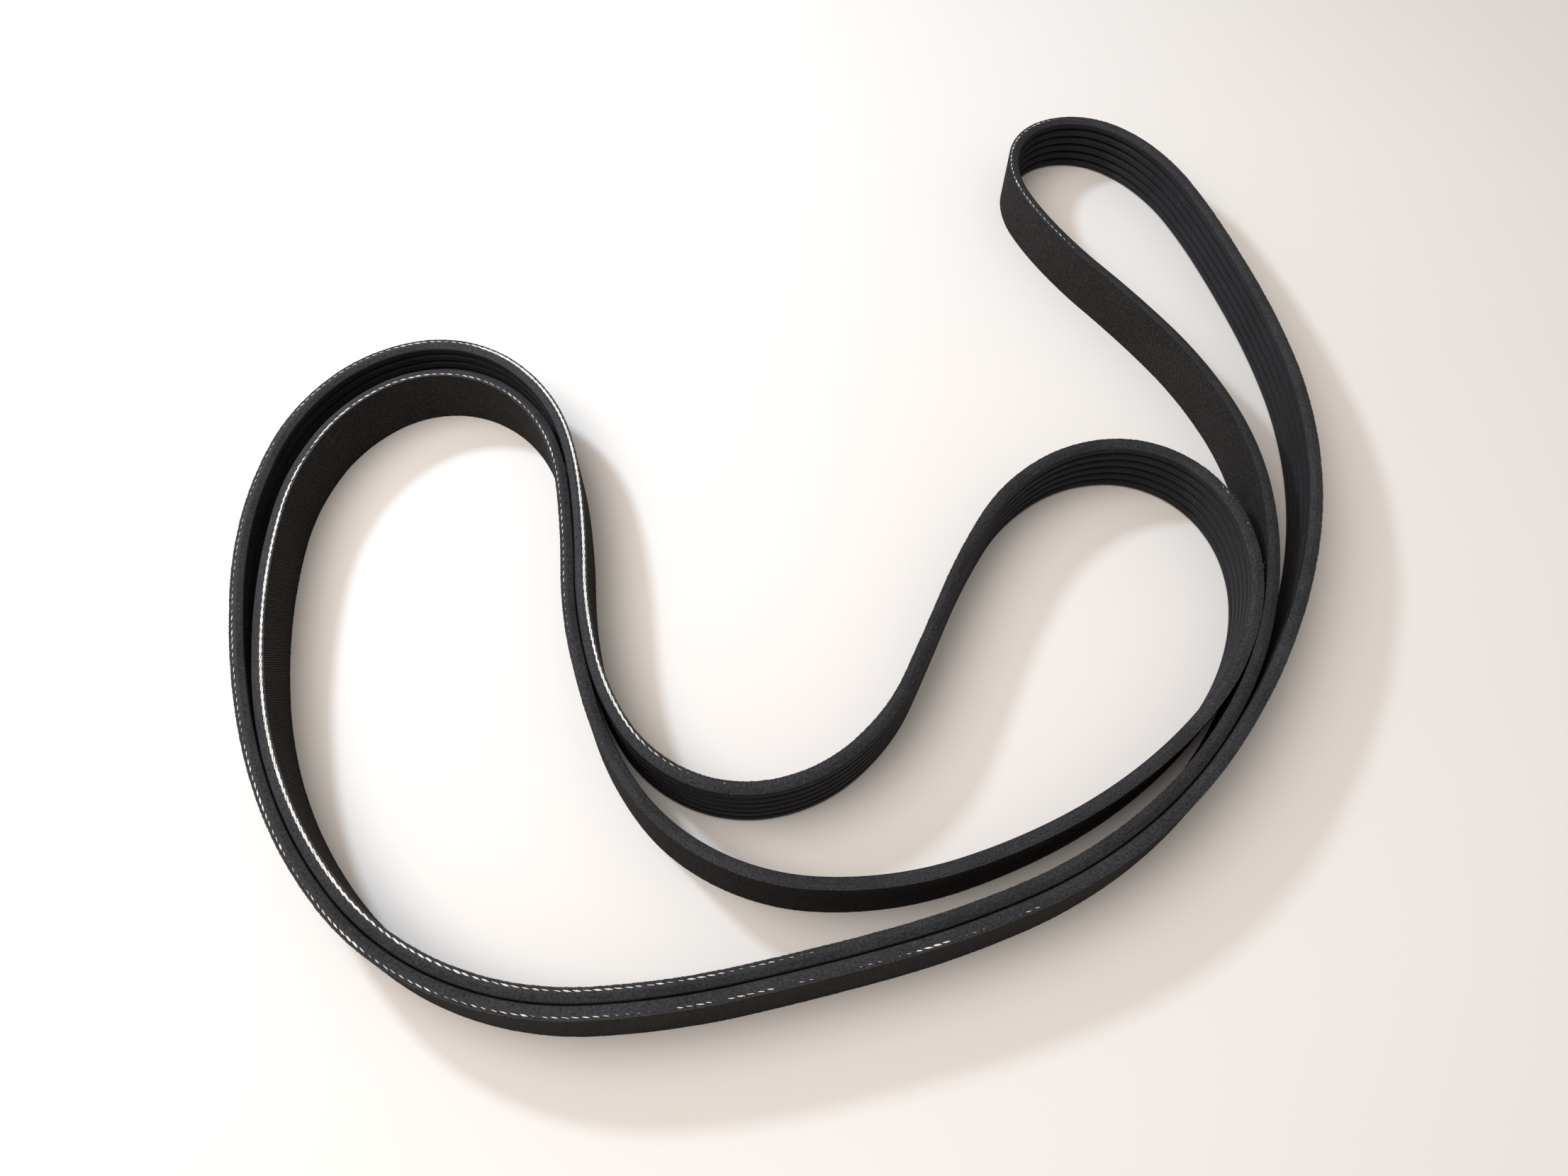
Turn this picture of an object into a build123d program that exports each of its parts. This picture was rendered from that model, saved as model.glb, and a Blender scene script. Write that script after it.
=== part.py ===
"""Endless six-rib V-belt standing on one cut edge in a loose free-form loop.

Millimetres. +X is right, +Y is away from the viewer, +Z is up.
The belt stands on z = 0 and the origin is the centre of its footprint.
Depth is measured from the back face towards the rib tips.
"""
import math
import os

from build123d import *

# belt section
RIB_COUNT = 6
RIB_PITCH = 3.56
WIDTH = RIB_COUNT * RIB_PITCH
THICKNESS = 4.0
RIB_HEIGHT = 1.9
RIB_ANGLE = 40.0
GROOVE_FLOOR = 0.25
RIB_TIP_RADIUS = 0.5
BACK_COVER_DEPTH = 0.5
CORD_LAYER_DEPTH = 1.4
CUSHION_DEPTH = 1.8

# The cord winds round the belt side by side from edge to edge. Each lap is a strip:
# one turn of cord with the adhesion rubber that bonds it to its neighbours.
CORD_TURNS = 20
LAP_HEIGHT = WIDTH / CORD_TURNS

# gaps between strands that lie against each other
LOWER_RUN_GAP = 0.3
NECK_GAP = 0.25
BACK_GAP = 0.2

# Stations of the back face: x, y and heading in degrees, in order of travel.
# The ribs are on the right-hand side of travel all the way round.
NARROW_LOOP = [(84.5, 145, 93), (92, 168.5, 49.5), (114, 178, -1), (143, 161, -53)]
RIGHT_SIDE = [(162.5, 115.5, -75), (175.5, 47, -85), (164, -37, -110.5)]
LOWER_RUN = [
    (124, -105.5, -130),
    (64.5, -149.5, -157),
    (-12, -172.5, -167),
    (-91, -172.5, 160),
    (-149, -119.5, 119.5),
]
LEFT_LOBE = [
    (-166.5, -78.5, 107.5),
    (-176.5, -29.5, 93.5),
    (-160.5, 32, 50.5),
    (-111.5, 47, -20.5),
    (-84.5, 25, -55),
]
NECK = [(-70, -11.5, -78), (-58, -75.5, -72)]
SAG = [(-31.5, -110.5, -27), (15, -103.5, 41), (44.5, -52.5, 67)]
RIGHT_LOBE = [(81.5, 0, 33.5), (128.5, 2, -34.5), (145.5, -27.5, -82.5)]
BACK_CONTACT = [(140.5, -62, -112)]
MIDDLE_RUN = [
    (99.5, -111.5, -143),
    (46.5, -139, -161.5),
    (-30.5, -133, 146.5),
    (-56, -103, 117.5),
]
INNER_LOBE = [(-94, 19.5, 133.5), (-120.5, 32.5, 177), (-158, 5, -112), (-161.5, -54, -81.5)]
RETURN_RUN = [(151.5, -11.5, 88), (131, 59.5, 121.5), (93, 118, 117)]


def alongside(stations, gap):
    """Stations of a strand that runs back rib to rib beside the given ones."""
    step = 2 * THICKNESS + gap
    found = []
    for x, y, heading in reversed(stations):
        a = math.radians(heading)
        found.append((x + step * math.sin(a), y - step * math.cos(a), heading + 180))
    return found


def behind(stations, gap):
    """Stations of a strand that runs the other way, back to back."""
    found = []
    for x, y, heading in reversed(stations):
        a = math.radians(heading)
        found.append((x - gap * math.sin(a), y + gap * math.cos(a), heading + 180))
    return found


def arc_to(start, heading, end):
    """Arc that leaves start at a heading and reaches end: start, heading, radius, turn."""
    dx = end[0] - start[0]
    dy = end[1] - start[1]
    half = (math.atan2(dy, dx) - heading + math.pi) % (2 * math.pi) - math.pi
    return start, heading, math.hypot(dx, dy) / (2 * math.sin(half)), 2 * half


def smooth_arcs(stations):
    """Two arcs between each pair of stations, tangent everywhere."""
    arcs = []
    for (x0, y0, a0), (x1, y1, a1) in zip(stations, stations[1:] + stations[:1]):
        h0 = math.radians(a0)
        h1 = math.radians(a1)
        dx = x1 - x0
        dy = y1 - y0
        along = dx * (math.cos(h0) + math.cos(h1)) + dy * (math.sin(h0) + math.sin(h1))
        span = dx * dx + dy * dy
        bend = 2 * (1 - math.cos(h1 - h0))
        reach = span / (along + math.sqrt(along * along + bend * span))
        middle = (
            (x0 + x1 + reach * (math.cos(h0) - math.cos(h1))) / 2,
            (y0 + y1 + reach * (math.sin(h0) - math.sin(h1))) / 2,
        )
        first = arc_to((x0, y0), h0, middle)
        arcs.append(first)
        arcs.append(arc_to(middle, h0 + first[3], (x1, y1)))
    return arcs


def arc_point(arc, depth, fraction):
    """Point on the arc's parallel at a depth towards the ribs."""
    (x, y), heading, radius, turn = arc
    a = heading + turn * fraction
    r = radius + depth
    return (
        x - radius * math.sin(heading) + r * math.sin(a),
        y + radius * math.cos(heading) - r * math.cos(a),
    )


stations = (
    NARROW_LOOP + RIGHT_SIDE + LOWER_RUN + LEFT_LOBE + NECK + SAG + RIGHT_LOBE
    + BACK_CONTACT + MIDDLE_RUN + alongside(NECK, NECK_GAP) + INNER_LOBE
    + alongside(LOWER_RUN, LOWER_RUN_GAP) + behind(BACK_CONTACT, BACK_GAP) + RETURN_RUN
)

# centre the footprint on the origin
outer = [arc_point(arc, 0, i / 100) for arc in smooth_arcs(stations) for i in range(100)]
mid_x = (min(p[0] for p in outer) + max(p[0] for p in outer)) / 2
mid_y = (min(p[1] for p in outer) + max(p[1] for p in outer)) / 2
route = smooth_arcs([(x - mid_x, y - mid_y, heading) for x, y, heading in stations])

back_length = sum(abs(radius * turn) for start, heading, radius, turn in route)
print("length along the back face", round(back_length, 1))
cord_depth = (BACK_COVER_DEPTH + CORD_LAYER_DEPTH) / 2
print("length along the cord", round(back_length - 2 * math.pi * cord_depth, 1))

# upright plane across the belt where the route starts: local x is depth, local y is height
start_x, start_y = route[0][0]
start_heading = route[0][1]
into_ribs = (math.sin(start_heading), -math.cos(start_heading), 0)
against_travel = (-math.cos(start_heading), -math.sin(start_heading), 0)


def across(depth, height):
    """Section plane with its origin at a depth and height in the belt."""
    origin = (start_x + depth * into_ribs[0], start_y + depth * into_ribs[1], height)
    return Plane(origin=origin, x_dir=into_ribs, z_dir=against_travel)


def outline(depth):
    """Closed chain of arcs at a depth below the back face."""
    for arc in route:
        ThreePointArc(arc_point(arc, depth, 0), arc_point(arc, depth, 0.5), arc_point(arc, depth, 1))


os.makedirs("parts", exist_ok=True)

# rubberised fabric that covers the back
with BuildPart() as back_cover:
    with BuildSketch():
        with BuildLine():
            outline(0)
        make_face()
        with BuildLine():
            outline(BACK_COVER_DEPTH)
        make_face(mode=Mode.SUBTRACT)
    extrude(amount=WIDTH)
back_cover.part.label = "back_cover"
export_step(back_cover.part, "parts/back_cover.step")

# laps of the tension cord, counted up from the resting edge
for number in range(1, CORD_TURNS + 1):
    with BuildPart() as tension_cord_lap:
        with BuildSketch(Plane.XY.offset((number - 1) * LAP_HEIGHT)):
            with BuildLine():
                outline(BACK_COVER_DEPTH)
            make_face()
            with BuildLine():
                outline(CORD_LAYER_DEPTH)
            make_face(mode=Mode.SUBTRACT)
        extrude(amount=LAP_HEIGHT)
    name = f"tension_cord_lap_{number:02d}"
    tension_cord_lap.part.label = name
    export_step(tension_cord_lap.part, f"parts/{name}.step")

# cushion rubber between the cord and the ribs
with BuildPart() as cushion_rubber:
    with BuildSketch():
        with BuildLine():
            outline(CORD_LAYER_DEPTH)
        make_face()
        with BuildLine():
            outline(CUSHION_DEPTH)
        make_face(mode=Mode.SUBTRACT)
    extrude(amount=WIDTH)
cushion_rubber.part.label = "cushion_rubber"
export_step(cushion_rubber.part, "parts/cushion_rubber.step")

# compression rubber with the six ribs
rib_root = THICKNESS - RIB_HEIGHT
tip_half = (RIB_PITCH - GROOVE_FLOOR) / 2 - RIB_HEIGHT * math.tan(math.radians(RIB_ANGLE / 2))
profile = [(CUSHION_DEPTH, 0), (rib_root, 0)]
for i in range(RIB_COUNT):
    middle = RIB_PITCH * (i + 0.5)
    if i > 0:
        profile.append((rib_root, middle - (RIB_PITCH - GROOVE_FLOOR) / 2))
    profile.append((THICKNESS, middle - tip_half))
    profile.append((THICKNESS, middle + tip_half))
    if i < RIB_COUNT - 1:
        profile.append((rib_root, middle + (RIB_PITCH - GROOVE_FLOOR) / 2))
profile += [(rib_root, WIDTH), (CUSHION_DEPTH, WIDTH)]

with BuildPart() as rib_layer:
    with BuildLine() as rib_path:
        outline(0)
    with BuildSketch(across(0, 0)) as rib_section:
        with BuildLine():
            Polyline(*profile, close=True)
        make_face()
        tips = [v for v in rib_section.vertices() if abs(v.X - THICKNESS) < 0.01]
        fillet(tips, radius=RIB_TIP_RADIUS)
    sweep(path=rib_path.line)
rib_layer.part.label = "rib_layer"
export_step(rib_layer.part, "parts/rib_layer.step")

for name, part in (("back_cover", back_cover.part), ("cushion_rubber", cushion_rubber.part),
                   ("rib_layer", rib_layer.part), ("last lap", tension_cord_lap.part)):
    box = part.bounding_box()
    print(name, round(part.volume, 1), part.is_valid, len(part.faces()), box.min, box.max)
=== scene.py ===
"""Looks of the endless six-rib belt: rubber, fabric back and twisted cord, built along one route."""
import math

import bpy
import numpy as np
from mathutils import Matrix


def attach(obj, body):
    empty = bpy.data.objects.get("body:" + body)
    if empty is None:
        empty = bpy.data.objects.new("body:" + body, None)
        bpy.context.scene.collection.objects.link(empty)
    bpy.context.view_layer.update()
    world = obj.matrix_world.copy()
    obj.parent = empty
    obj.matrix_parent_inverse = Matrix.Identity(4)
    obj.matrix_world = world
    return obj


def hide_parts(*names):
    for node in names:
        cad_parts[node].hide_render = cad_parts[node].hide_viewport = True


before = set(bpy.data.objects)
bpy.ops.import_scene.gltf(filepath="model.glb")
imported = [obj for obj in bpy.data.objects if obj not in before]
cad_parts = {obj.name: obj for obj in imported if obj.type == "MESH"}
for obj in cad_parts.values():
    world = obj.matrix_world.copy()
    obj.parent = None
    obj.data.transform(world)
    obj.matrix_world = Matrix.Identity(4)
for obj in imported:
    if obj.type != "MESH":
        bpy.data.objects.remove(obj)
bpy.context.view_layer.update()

MM = 0.001

# the belt's section in millimetres; a depth is measured from the back face towards the ribs
RIBS = 6
PITCH = 3.56
WIDTH = RIBS * PITCH
THICK = 4.0
RIB_HEIGHT = 1.9
RIB_ROOT = THICK - RIB_HEIGHT
RIB_SLOPE = math.radians(20)
RIB_TIP_RADIUS = 0.5
GROOVE_FLOOR = 0.25
COVER = 0.5
CUSHION = 1.8
CORD_DEPTH = 0.92

# the twisted cord that shows at the upper edge
STRANDS = 3
STRAND_RADIUS = 0.32
STRAND_OFFSET = 0.20
CORE_RADIUS = 0.33
CORD_BELOW_TOP = 0.53
LAY_ABOUT = 7.8

# stations of the back face in millimetres: x, y, heading in degrees
NARROW_LOOP = [(84.5, 145, 93), (92, 168.5, 49.5), (114, 178, -1), (143, 161, -53)]
RIGHT_SIDE = [(162.5, 115.5, -75), (175.5, 47, -85), (164, -37, -110.5)]
LOWER_RUN = [
    (124, -105.5, -130),
    (64.5, -149.5, -157),
    (-12, -172.5, -167),
    (-91, -172.5, 160),
    (-149, -119.5, 119.5),
]
LEFT_LOBE = [
    (-166.5, -78.5, 107.5),
    (-176.5, -29.5, 93.5),
    (-160.5, 32, 50.5),
    (-111.5, 47, -20.5),
    (-84.5, 25, -55),
]
NECK = [(-70, -11.5, -78), (-58, -75.5, -72)]
SAG = [(-31.5, -110.5, -27), (15, -103.5, 41), (44.5, -52.5, 67)]
RIGHT_LOBE = [(81.5, 0, 33.5), (128.5, 2, -34.5), (145.5, -27.5, -82.5)]
BACK_CONTACT = [(140.5, -62, -112)]
MIDDLE_RUN = [
    (99.5, -111.5, -143),
    (46.5, -139, -161.5),
    (-30.5, -133, 146.5),
    (-56, -103, 117.5),
]
INNER_LOBE = [(-94, 19.5, 133.5), (-120.5, 32.5, 177), (-158, 5, -112), (-161.5, -54, -81.5)]
RETURN_RUN = [(151.5, -11.5, 88), (131, 59.5, 121.5), (93, 118, 117)]


def beside(stations, step):
    """The same stations for a strand running back at a step towards the ribs."""
    found = []
    for x, y, heading in reversed(stations):
        a = math.radians(heading)
        found.append((x + step * math.sin(a), y - step * math.cos(a), heading + 180))
    return found


def arc_to(start, heading, end):
    """The arc that leaves start along heading and ends at end: start, heading, radius and turn."""
    dx = end[0] - start[0]
    dy = end[1] - start[1]
    half = (math.atan2(dy, dx) - heading + math.pi) % (2 * math.pi) - math.pi
    return start, heading, math.hypot(dx, dy) / (2 * math.sin(half)), 2 * half


def smooth_arcs(stations):
    """Two tangent arcs between each station and the next, round the whole loop."""
    arcs = []
    for (x0, y0, a0), (x1, y1, a1) in zip(stations, stations[1:] + stations[:1]):
        h0 = math.radians(a0)
        h1 = math.radians(a1)
        dx = x1 - x0
        dy = y1 - y0
        along = dx * (math.cos(h0) + math.cos(h1)) + dy * (math.sin(h0) + math.sin(h1))
        span = dx * dx + dy * dy
        bend = 2 * (1 - math.cos(h1 - h0))
        reach = span / (along + math.sqrt(along * along + bend * span))
        middle = (
            (x0 + x1 + reach * (math.cos(h0) - math.cos(h1))) / 2,
            (y0 + y1 + reach * (math.sin(h0) - math.sin(h1))) / 2,
        )
        first = arc_to((x0, y0), h0, middle)
        arcs.append(first)
        arcs.append(arc_to(middle, h0 + first[3], (x1, y1)))
    return arcs


ARCS = smooth_arcs(
    NARROW_LOOP + RIGHT_SIDE + LOWER_RUN + LEFT_LOBE + NECK + SAG + RIGHT_LOBE
    + BACK_CONTACT + MIDDLE_RUN + beside(NECK, 2 * THICK + 0.25) + INNER_LOBE
    + beside(LOWER_RUN, 2 * THICK + 0.3) + beside(BACK_CONTACT, -0.2) + RETURN_RUN
)


def stations_at(step):
    """Points about a step apart round the whole route: position, unit step into the ribs, distance."""
    points = []
    inward = []
    run = []
    gone = 0.0
    for (x, y), heading, radius, turn in ARCS:
        length = abs(radius * turn)
        count = max(1, round(length / step))
        for i in range(count):
            a = heading + turn * i / count
            points.append((
                x - radius * math.sin(heading) + radius * math.sin(a),
                y + radius * math.cos(heading) - radius * math.cos(a),
            ))
            inward.append((math.sin(a), -math.cos(a)))
            run.append(gone + length * i / count)
        gone += length
    return np.array(points), np.array(inward), np.array(run), gone


fine, _, _, LENGTH = stations_at(0.5)
MIDDLE = (fine.min(axis=0) + fine.max(axis=0)) / 2


def wobble(run, cell, seed):
    """Smooth repeatable noise from -1 to 1 along the belt, closed on itself."""
    count = max(4, round(LENGTH / cell))
    table = np.random.default_rng(seed).uniform(-1, 1, count)
    t = run / LENGTH * count
    i = np.floor(t).astype(int)
    f = t - i
    f = f * f * (3 - 2 * f)
    return table[i % count] * (1 - f) + table[(i + 1) % count] * f


def link_mesh(name, mesh):
    """An object for a finished mesh, in the scene."""
    mesh.update()
    piece = bpy.data.objects.new(name, mesh)
    bpy.context.scene.collection.objects.link(piece)
    return piece


def swept(name, run, points, inward, depth, height):
    """Closed band through a section at every station. depth and height are station by section point."""
    n, m = depth.shape
    base = (points - MIDDLE)[:, None, :] + inward[:, None, :] * depth[:, :, None]
    verts = np.concatenate([base, height[:, :, None]], axis=2).reshape(-1, 3) * MM
    i = np.arange(n)[:, None]
    j = np.arange(m)[None, :]
    i2 = (i + 1) % n
    j2 = (j + 1) % m
    quads = np.stack([i * m + j, i * m + j2, i2 * m + j2, i2 * m + j], axis=2).reshape(-1, 4)
    mesh = bpy.data.meshes.new(name)
    mesh.from_pydata(verts.tolist(), [], quads.tolist())
    side = np.hypot(np.diff(depth[0], append=depth[0][0]), np.diff(height[0], append=height[0][0]))
    across = np.concatenate([[0.0], np.cumsum(side)])
    u0 = np.broadcast_to(run[:, None], (n, m))
    u1 = np.broadcast_to(np.append(run[1:], LENGTH)[:, None], (n, m))
    v0 = np.broadcast_to(across[:-1][None, :], (n, m))
    v1 = np.broadcast_to(across[1:][None, :], (n, m))
    corners = np.stack([u0, v0, u0, v1, u1, v1, u1, v0], axis=2).reshape(-1)
    layer = mesh.uv_layers.new(name="along_across")
    layer.data.foreach_set("uv", (corners * 0.1).astype(np.float32))
    mesh.shade_smooth()
    mesh.set_sharp_from_angle(angle=math.radians(38))
    return link_mesh(name, mesh)


# ---- materials -------------------------------------------------------------


class Shader:
    """Small helper that strings shader nodes together."""

    def __init__(self, name):
        self.material = bpy.data.materials.new(name)
        self.material.use_nodes = True
        self.tree = self.material.node_tree
        self.bsdf = self.tree.nodes["Principled BSDF"]

    def node(self, kind, **settings):
        made = self.tree.nodes.new(kind)
        for key, value in settings.items():
            setattr(made, key, value)
        return made

    def link(self, a, b):
        self.tree.links.new(a, b)

    def place(self, scale, uv=False, turn=0.0):
        """Scaled coordinates: metres in the object, or along and across the belt with a unit to 10 mm."""
        if uv:
            source = self.node("ShaderNodeUVMap", uv_map="along_across").outputs["UV"]
        else:
            source = self.node("ShaderNodeTexCoord").outputs["Object"]
        mapping = self.node("ShaderNodeMapping")
        mapping.inputs["Scale"].default_value = scale
        mapping.inputs["Rotation"].default_value = (0, 0, turn)
        self.link(source, mapping.inputs["Vector"])
        return mapping.outputs["Vector"]

    def noise(self, vector, scale, detail=3.0, rough=0.6):
        made = self.node("ShaderNodeTexNoise")
        made.inputs["Scale"].default_value = scale
        made.inputs["Detail"].default_value = detail
        made.inputs["Roughness"].default_value = rough
        self.link(vector, made.inputs["Vector"])
        return made.outputs["Fac"]

    def wave(self, vector, scale, warp=0.0, detail=1.0):
        made = self.node("ShaderNodeTexWave", wave_type="BANDS", bands_direction="X")
        made.inputs["Scale"].default_value = scale
        made.inputs["Distortion"].default_value = warp
        made.inputs["Detail"].default_value = detail
        self.link(vector, made.inputs["Vector"])
        return made.outputs["Fac"]

    def ramp(self, value, stops):
        made = self.node("ShaderNodeValToRGB")
        bar = made.color_ramp
        while len(bar.elements) < len(stops):
            bar.elements.new(0.5)
        for element, (at, colour) in zip(bar.elements, stops):
            element.position = at
            element.color = (*colour, 1) if len(colour) == 3 else colour
        self.link(value, made.inputs["Fac"])
        return made.outputs["Color"]

    def blend(self, kind, factor, a, b):
        made = self.node("ShaderNodeMix", data_type="RGBA", blend_type=kind)
        if isinstance(factor, float):
            made.inputs["Factor"].default_value = factor
        else:
            self.link(factor, made.inputs["Factor"])
        for socket, value in ((made.inputs[6], a), (made.inputs[7], b)):
            if isinstance(value, tuple):
                socket.default_value = (*value, 1)
            else:
                self.link(value, socket)
        return made.outputs[2]

    def maths(self, kind, a, b):
        made = self.node("ShaderNodeMath", operation=kind)
        for socket, value in ((made.inputs[0], a), (made.inputs[1], b)):
            if isinstance(value, (int, float)):
                socket.default_value = value
            else:
                self.link(value, socket)
        return made.outputs[0]

    def bump(self, height, strength, distance, under=None):
        made = self.node("ShaderNodeBump")
        made.inputs["Strength"].default_value = strength
        made.inputs["Distance"].default_value = distance
        self.link(height, made.inputs["Height"])
        if under is not None:
            self.link(under, made.inputs["Normal"])
        return made.outputs["Normal"]


def specks(shader, base, scale, size, tint, amount):
    """Tiny pale lint and fibre flecks over a base colour."""
    cells = shader.node("ShaderNodeTexVoronoi", feature="F1")
    cells.inputs["Scale"].default_value = scale
    cells.inputs["Randomness"].default_value = 1.0
    shader.link(shader.place((1.0, 1.0, 1.0)), cells.inputs["Vector"])
    near = shader.ramp(cells.outputs["Distance"], [(0.0, (1, 1, 1)), (size, (0, 0, 0))])
    pick = shader.node("ShaderNodeSeparateColor")
    shader.link(cells.outputs["Color"], pick.inputs["Color"])
    chosen = shader.maths("GREATER_THAN", pick.outputs["Red"], 1.0 - amount)
    mask = shader.maths("MULTIPLY", near, chosen)
    return shader.blend("MIX", mask, base, tint)


def cut_rubber(name, dark, light, rough, shine=0.16, grit=0.8):
    """Matt rubber with the fine drag lines of a cut or ground face."""
    shader = Shader(name)
    cloud = shader.noise(shader.place((1, 1, 1)), 60.0, 4.0, 0.65)
    grain = shader.noise(shader.place((1, 1, 1)), 1500.0, 3.0, 0.75)
    drag = shader.noise(shader.place((1.5, 40.0, 1.0), uv=True), 1.0, 3.0, 0.6)
    tone = shader.blend("MIX", 0.35, shader.ramp(cloud, [(0.3, dark), (0.7, light)]),
                        shader.ramp(drag, [(0.3, dark), (0.7, light)]))
    tone = shader.blend("MULTIPLY", grit, tone,
                        shader.ramp(grain, [(0.38, (0.35, 0.35, 0.35)), (0.62, (1.4, 1.4, 1.4))]))
    tone = specks(shader, tone, 700.0, 0.2, (0.10, 0.10, 0.10), 0.05)
    shader.link(tone, shader.bsdf.inputs["Base Color"])
    shader.link(shader.ramp(cloud, [(0.3, (rough - 0.06,) * 3), (0.7, (rough + 0.08,) * 3)]),
                shader.bsdf.inputs["Roughness"])
    normal = shader.bump(grain, 0.5, 0.00012)
    normal = shader.bump(drag, 0.25, 0.00006, normal)
    shader.link(normal, shader.bsdf.inputs["Normal"])
    shader.bsdf.inputs["Specular IOR Level"].default_value = shine
    return shader.material


def twill_back(name):
    """Rubberised twill: fine slanted ridges across the belt, worn a little paler on their crowns."""
    shader = Shader(name)
    ridges = shader.wave(shader.place((1, 1, 1), uv=True, turn=math.radians(28)), 4.4, 1.4, 2.0)
    weft = shader.wave(shader.place((1, 1, 1), uv=True, turn=math.radians(-58)), 5.6, 1.2, 2.0)
    cloud = shader.noise(shader.place((1, 1, 1)), 45.0, 4.0, 0.6)
    grain = shader.noise(shader.place((1, 1, 1)), 1500.0, 3.0, 0.75)
    weave = shader.blend("MIX", 0.4, ridges, weft)
    tone = shader.ramp(weave, [(0.25, (0.0075, 0.0071, 0.0069)), (0.75, (0.056, 0.0525, 0.0510))])
    tone = shader.blend("MULTIPLY", 0.5, tone,
                        shader.ramp(cloud, [(0.3, (0.6, 0.58, 0.56)), (0.7, (1, 1, 1))]))
    tone = shader.blend("MULTIPLY", 0.8, tone,
                        shader.ramp(grain, [(0.38, (0.35, 0.35, 0.35)), (0.62, (1.3, 1.3, 1.3))]))
    shader.link(tone, shader.bsdf.inputs["Base Color"])
    normal = shader.bump(weave, 0.8, 0.00018)
    normal = shader.bump(grain, 0.5, 0.00010, normal)
    shader.link(normal, shader.bsdf.inputs["Normal"])
    shader.bsdf.inputs["Roughness"].default_value = 0.9
    shader.bsdf.inputs["Specular IOR Level"].default_value = 0.04
    return shader.material


def cord_yarn(name, low, high):
    """Off-white twisted polyester with fine filaments along the strands."""
    shader = Shader(name)
    threads = shader.wave(shader.place((1, 1, 1), uv=True, turn=math.radians(70)), 26.0, 1.5, 2.0)
    cloud = shader.noise(shader.place((1, 1, 1)), 500.0, 3.0, 0.6)
    tone = shader.ramp(threads, [(0.1, low), (0.6, high)])
    tone = shader.blend("MULTIPLY", 0.6, tone,
                        shader.ramp(cloud, [(0.3, (0.62, 0.61, 0.59)), (0.6, (1, 1, 1))]))
    shader.link(tone, shader.bsdf.inputs["Base Color"])
    shader.link(shader.bump(threads, 0.5, 0.00005), shader.bsdf.inputs["Normal"])
    shader.bsdf.inputs["Roughness"].default_value = 0.7
    return shader.material


SIDE = cut_rubber("cushion_cut_face", (0.0185, 0.019, 0.0215), (0.038, 0.0395, 0.0445), 0.64)
RIB = cut_rubber("rib_rubber_ground", (0.0096, 0.0096, 0.0112), (0.0240, 0.0240, 0.0280), 0.60, 0.12, 0.4)
# painted shade: a darker, less shiny rubber for the groove roots, standing in for the shade deep in the
# grooves
PAINTED_GROOVE_SHADE = cut_rubber("rib_rubber_painted_groove_shade", (0.0035, 0.0035, 0.004), (0.008, 0.008, 0.009), 0.8, 0.03, 0.2)
BACK = twill_back("back_twill")
CORD = cord_yarn("cord_yarn", (0.60, 0.59, 0.56), (0.90, 0.89, 0.86))
# a greyer yarn: on the cord core it is partly dirt and partly painted shade in the valleys between the
# strands; the frayed threads use it as their grey
CORD_GREY_AND_PAINTED_SHADE = cord_yarn("cord_yarn_grey_and_painted_shade", (0.26, 0.25, 0.235), (0.55, 0.54, 0.51))

# ---- back cover ------------------------------------------------------------

points, inward, run, _ = stations_at(0.45)
n = len(run)
nibble = np.random.default_rng(11).uniform(0, 1, n)
nibble_low = np.random.default_rng(12).uniform(0, 1, n)
ragged = 0.5 + 0.5 * wobble(run, 7.0, 13)
levels = np.linspace(0.35, WIDTH - 0.35, 7)
top_in = 0.12 * nibble * ragged - 0.09 * (1 - nibble)
low_in = 0.07 * nibble_low * ragged - 0.04 * (1 - nibble_low)
columns = [(low_in, 0.07 + 0.06 * nibble_low)]
columns += [(np.full(n, 0.0), np.full(n, level)) for level in levels]
columns += [
    (top_in, WIDTH - 0.05 - 0.04 * nibble),
    (top_in + 0.06, WIDTH - 0.005 - 0.02 * nibble),
    (np.full(n, COVER - 0.02), np.full(n, WIDTH - 0.015)),
    (np.full(n, COVER + 0.02), np.full(n, WIDTH - 0.12)),
    (np.full(n, COVER + 0.02), np.full(n, 0.12)),
    (np.full(n, COVER - 0.02), np.full(n, 0.0)),
    (low_in + 0.06, np.full(n, 0.0)),
]
back = swept("belt_back", run, points, inward,
             np.stack([c[0] for c in columns], axis=1), np.stack([c[1] for c in columns], axis=1))
back.data.materials.append(BACK)
back.data.materials.append(SIDE)
# the upper cut edge of the cover shows the rubber, not the twill
cut = np.zeros((n, len(columns)), dtype=np.int32)
cut[:, 8:11] = 1
back.data.polygons.foreach_set("material_index", cut.reshape(-1))
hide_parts("back_cover")

# ---- cushion ---------------------------------------------------------------

points, inward, run, _ = stations_at(1.2)
n = len(run)
TOP = WIDTH - 0.03
rough_top = 0.02 * wobble(run, 2.0, 21)
section = [
    (COVER + 0.01, 0.0), (COVER + 0.01, TOP - 0.02), (COVER + 0.06, TOP), (0.95, TOP),
    (CUSHION - 0.03, TOP), (CUSHION + 0.02, TOP - 0.05), (CUSHION + 0.02, 0.0),
]
depth = np.array([[d for d, h in section]] * n)
height = np.array([[h for d, h in section]] * n)
height[:, 2:5] += rough_top[:, None]
cushion = swept("belt_cushion", run, points, inward, depth, height)
cushion.data.materials.append(SIDE)
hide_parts("cushion_rubber", *[f"tension_cord_lap_{i:02d}" for i in range(1, 20)])

# ---- ribs ------------------------------------------------------------------

# height above the groove roots of the stretch painted darker as groove shade
GROOVE_SHADE_RISE = 0.45


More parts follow.
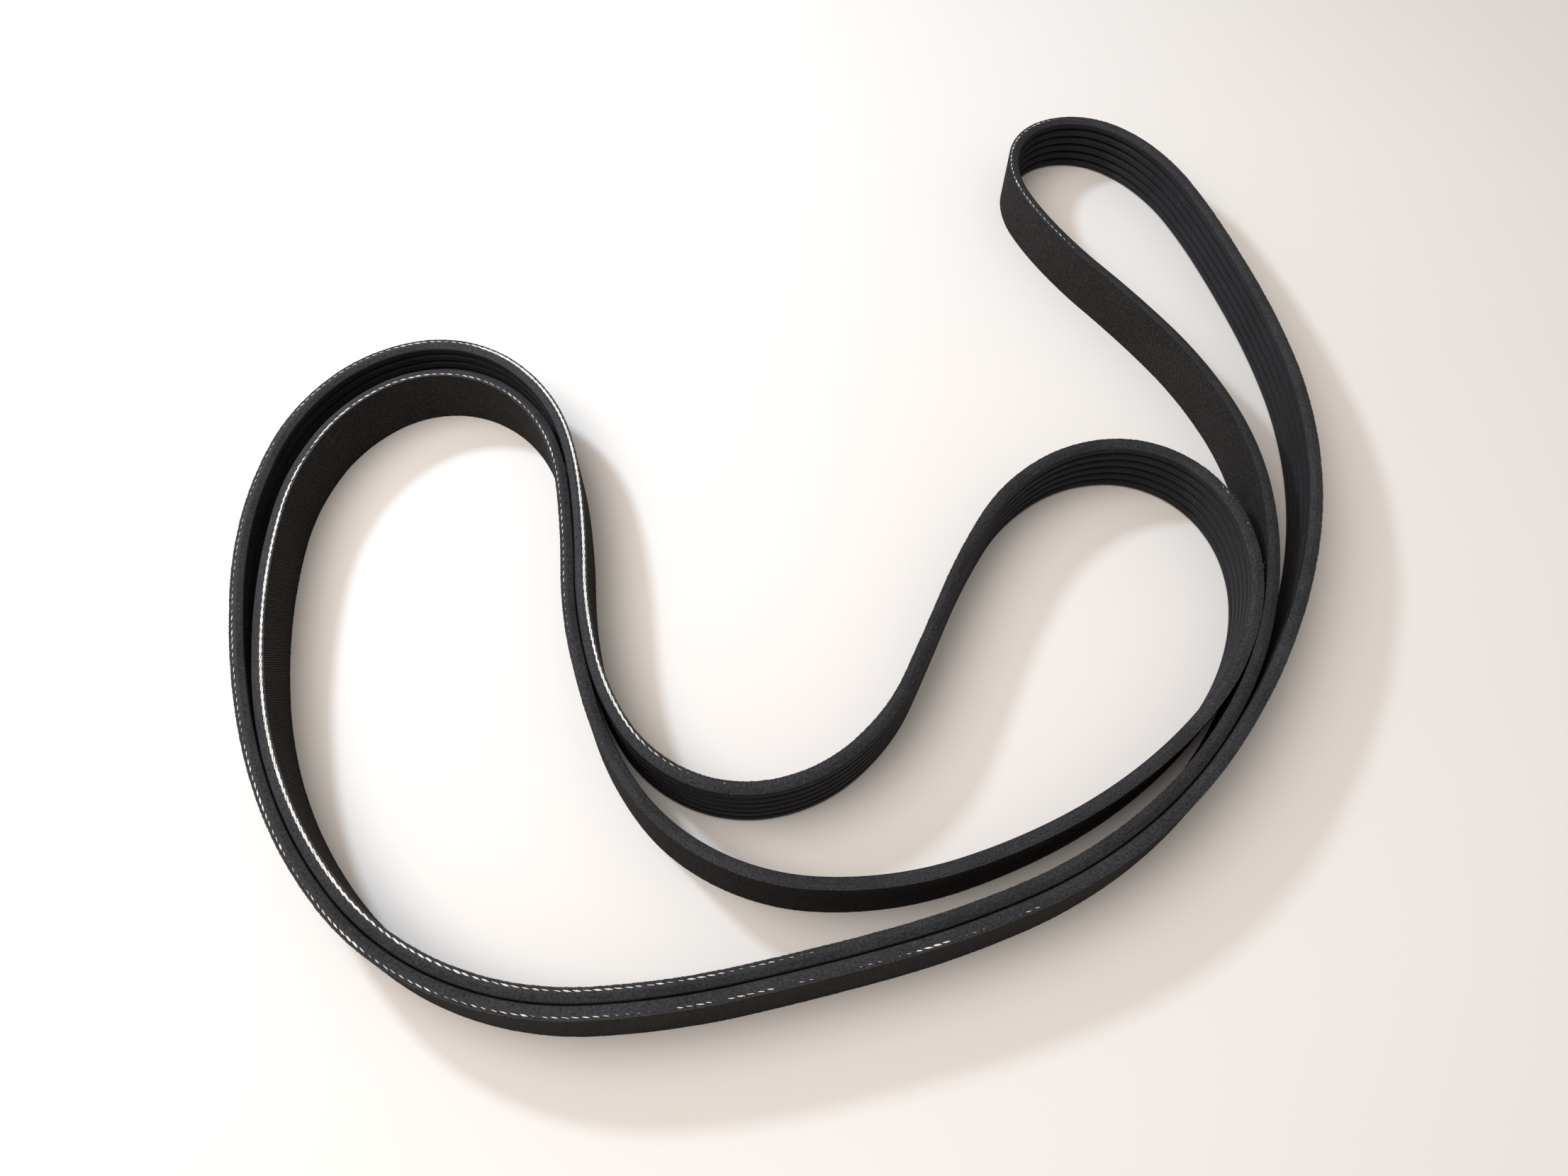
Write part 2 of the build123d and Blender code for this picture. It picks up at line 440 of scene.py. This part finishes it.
def rib_profile():
    """Depth and height of the ribbed face from the lower edge to the upper, rounded as ground."""
    half_root = (PITCH - GROOVE_FLOOR) / 2
    half_tip = half_root - RIB_HEIGHT * math.tan(RIB_SLOPE)
    # the tip rounding is tangent to the tip and to the flank; its centre is this far from the rib's middle
    off_middle = half_tip - RIB_TIP_RADIUS * math.tan((math.pi / 2 - RIB_SLOPE) / 2)
    flank = [(0.0, -0.02), (0.10, 0.02), (GROOVE_SHADE_RISE, GROOVE_SHADE_RISE * math.tan(RIB_SLOPE))]
    angles = [RIB_SLOPE + (math.pi / 2 - RIB_SLOPE) * k / 3 for k in range(4)]
    tip = [
        (THICK - RIB_TIP_RADIUS + RIB_TIP_RADIUS * math.sin(a), off_middle + RIB_TIP_RADIUS * math.cos(a))
        for a in angles
    ]
    profile = [(RIB_ROOT, 0.02)]
    for rib in range(RIBS):
        middle = PITCH * (rib + 0.5)
        if rib > 0:
            profile += [(RIB_ROOT + rise, middle - half_root + shift) for rise, shift in flank]
        profile += [(depth, middle - aside) for depth, aside in tip]
        profile += [(depth, middle + aside) for depth, aside in reversed(tip)]
        if rib < RIBS - 1:
            profile += [(RIB_ROOT + rise, middle + half_root - shift) for rise, shift in reversed(flank)]
    profile.append((RIB_ROOT, WIDTH - 0.02))
    return profile


points, inward, run, _ = stations_at(2.25)
n = len(run)
section = [(CUSHION, 0.0)] + rib_profile() + [(RIB_ROOT - 0.05, WIDTH), (CUSHION, WIDTH - 0.01)]
depth = np.array([[d for d, h in section]] * n)
height = np.array([[h for d, h in section]] * n)
ribs = swept("belt_ribs", run, points, inward, depth, height)
for material in (RIB, PAINTED_GROOVE_SHADE, SIDE):
    ribs.data.materials.append(material)
# painted shade: the lowest stretch of each groove gets a darker rubber standing in for the shade at the
# groove roots, and the upper cut face matches the cushion beside it
kind = np.zeros(len(section), dtype=np.int32)
for j in range(1, len(section) - 3):
    if max(section[j][0], section[j + 1][0]) < RIB_ROOT + GROOVE_SHADE_RISE + 0.01:
        kind[j] = 1
kind[-4:-1] = 2
ribs.data.polygons.foreach_set("material_index", np.tile(kind, n))
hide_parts("rib_layer")

# ---- exposed cord ----------------------------------------------------------

# how much of the cord the cut edge shows, by distance along the belt in millimetres:
# 0 buried, 0.5 dashes, 1 laid open
SHOWN = [
    (0, 0.70), (34, 0.66), (46, 0.25), (70, 0.08), (200, 0.04), (350, 0.08), (430, 0.2), (465, 0.42),
    (520, 0.5), (600, 0.52), (740, 0.46), (800, 0.36), (845, 0.5), (890, 0.62), (905, 1.0), (1055, 1.0),
    (1068, 0.68), (1085, 0.38), (1108, 0.1), (1300, 0.05), (1318, 0.28), (1350, 0.34), (1368, 0.12),
    (1600, 0.12), (1640, 0.3), (1700, 0.5), (1735, 0.58), (1800, 0.64), (1850, 0.82), (1885, 1.0),
    (1985, 1.0), (2015, 0.78), (2085, 0.62), (2125, 0.42), (2150, 0.14), (2300, 0.05), (2380, 0.12),
    (2470, 0.2), (2490, 0.62), (2528, 0.70),
]
points, inward, run, _ = stations_at(0.8)
n = len(run)
shown = np.interp(run, [s for s, e in SHOWN], [e for s, e in SHOWN])
# worn stretches on the outer side show uneven dashes
patchy = np.interp(run, [420, 450, 700, 760], [0.0, 0.13, 0.13, 0.0])
shown = shown + (0.08 + patchy) * wobble(run, 4.5, 31) + (0.05 + 0.6 * patchy) * wobble(run, 19.0, 32)
lift = np.interp(shown, [0.0, 0.25, 0.5, 0.75, 1.0], [-0.09, -0.03, 0.04, 0.09, 0.29])
# a whole number of turns of twist in the belt's length
LAY = LENGTH / round(LENGTH / LAY_ABOUT)
centre = WIDTH - CORD_BELOW_TOP + lift


def round_yarn(name, middle_depth, middle_height, radius, sides, ceiling, material):
    """One round yarn along the route, cut flat where it would pass the belt's upper face."""
    ring = np.linspace(0, 2 * math.pi, sides, endpoint=False)
    depth = middle_depth[:, None] + radius * np.sin(ring)[None, :]
    height = np.minimum(middle_height[:, None] + radius * np.cos(ring)[None, :], ceiling)
    yarn = swept(name, run, points, inward, depth, height)
    yarn.data.materials.append(material)
    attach(yarn, "root")
    return yarn


for strand in range(STRANDS):
    twist = 2 * math.pi * (run / LAY + strand / STRANDS)
    round_yarn(f"belt_cord_strand_{strand + 1}", CORD_DEPTH + STRAND_OFFSET * np.sin(twist),
               centre + STRAND_OFFSET * np.cos(twist), STRAND_RADIUS, 8, WIDTH - 0.002, CORD)
# the core's darker yarn is painted shade between the strands, partly dirt as well
core = round_yarn("belt_cord_core", np.full(n, CORD_DEPTH), centre, CORE_RADIUS, 10,
                  WIDTH - 0.012, CORD_GREY_AND_PAINTED_SHADE)
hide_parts("tension_cord_lap_20")


# ---- lint and frayed ends --------------------------------------------------


def fibres(name, starts, reach, radius, seed, along, out, up):
    """Short curved three-sided hairs rooted in the upper back edge. along, out and up are the lean."""
    rng = np.random.default_rng(seed)
    points, inward, run, _ = stations_at(0.5)
    verts = []
    faces = []
    for s in starts:
        i = int(np.searchsorted(run, s % LENGTH)) % len(run)
        side = np.array([inward[i][0], inward[i][1], 0.0])
        ahead = np.array([-inward[i][1], inward[i][0], 0.0])
        x, y = points[i] - MIDDLE
        spot = np.array([x, y, WIDTH - rng.uniform(0.02, 0.5)])
        spot = spot + side * rng.uniform(0.0, 0.12)
        lean = ahead * rng.uniform(-along, along) - side * rng.uniform(0.0, out)
        lean = lean + np.array([0.0, 0.0, rng.uniform(-up, up)])
        lean = lean / np.linalg.norm(lean)
        bend = ahead * rng.uniform(-0.5, 0.5) + np.array([0.0, 0.0, rng.uniform(-0.4, 0.1)])
        length = rng.uniform(0.4, 1.0) * reach
        first = len(verts)
        for k in range(5):
            t = k / 4
            middle = spot + length * (lean * t + bend * t * t)
            middle[2] = min(middle[2], WIDTH + 0.15)
            r = radius * (1 - 0.6 * t)
            for c in range(3):
                a = 2 * math.pi * c / 3
                around = math.cos(a) * side + math.sin(a) * np.array([0, 0, 1])
                verts.append(tuple((middle + r * around) * MM))
        for k in range(4):
            for c in range(3):
                a = first + 3 * k + c
                b = first + 3 * k + (c + 1) % 3
                faces.append((a, b, b + 3, a + 3))
        faces.append((first + 2, first + 1, first))
        faces.append((first + 12, first + 13, first + 14))
    mesh = bpy.data.meshes.new(name)
    mesh.from_pydata(verts, [], faces)
    mesh.shade_smooth()
    return link_mesh(name, mesh)


spread = np.random.default_rng(71).uniform(0, LENGTH, 2600)
fuzz = fibres("belt_edge_fuzz", spread, 0.55, 0.035, 72, 1.0, 1.0, 0.3)
fuzz.data.materials.append(BACK)
frayed = np.random.default_rng(73).uniform(1312, 1366, 34)
threads = fibres("belt_frayed_threads", frayed, 1.5, 0.045, 74, 1.0, 0.25, 0.15)
threads.data.materials.append(CORD_GREY_AND_PAINTED_SHADE)

for piece in (back, cushion, ribs, fuzz, threads):
    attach(piece, "root")

# ---- floor, light and camera ----------------------------------------------

bpy.ops.mesh.primitive_plane_add(size=6.0, location=(0, 0, 0))
floor = bpy.context.object
floor.name = "floor"
paper = Shader("pale_floor")
tone = paper.ramp(paper.noise(paper.place((1, 1, 1)), 4.0, 3.0, 0.5),
                  [(0.3, (0.79, 0.785, 0.775)), (0.7, (0.81, 0.805, 0.797))])
paper.link(tone, paper.bsdf.inputs["Base Color"])
paper.bsdf.inputs["Roughness"].default_value = 0.9
paper.bsdf.inputs["Specular IOR Level"].default_value = 0.1
floor.data.materials.append(paper.material)


def area_light(name, at, target, size, power, colour):
    light = bpy.data.lights.new(name, "AREA")
    light.shape = "DISK"
    light.size = size
    light.energy = power
    light.color = colour
    holder = bpy.data.objects.new(name, light)
    bpy.context.scene.collection.objects.link(holder)
    holder.location = at
    dx, dy, dz = (t - a for t, a in zip(target, at))
    holder.rotation_euler = (math.atan2(math.hypot(dx, dy), -dz), 0, math.atan2(dy, dx) - math.pi / 2)
    return holder


area_light("key", (-0.60, 0.40, 0.556), (0.0, 0.0, 0.0), 0.10, 5.0, (0.74, 0.87, 1.0))
area_light("ceiling", (-0.42, -0.08, 0.80), (0.0, 0.0, 0.0), 0.8, 6.0, (1.0, 0.905, 0.83))
world = bpy.data.worlds.new("studio")
world.use_nodes = True
world.node_tree.nodes["Background"].inputs["Color"].default_value = (1.0, 0.905, 0.83, 1)
world.node_tree.nodes["Background"].inputs["Strength"].default_value = 0.50
bpy.context.scene.world = world

lens = bpy.data.cameras.new("camera")
lens.sensor_width = 36.0
lens.lens = 25.67
lens.clip_start = 0.01
camera = bpy.data.objects.new("camera", lens)
bpy.context.scene.collection.objects.link(camera)
tilt = math.radians(31.3)
roll = math.radians(0.67)
camera.location = (-0.00325, -0.2298, 0.3145)
camera.rotation_mode = "XYZ"
turn = Matrix.Rotation(tilt, 4, "X") @ Matrix.Rotation(roll, 4, "Z")
camera.rotation_euler = turn.to_euler("XYZ")
bpy.context.scene.camera = camera
bpy.context.scene.view_settings.view_transform = "Standard"
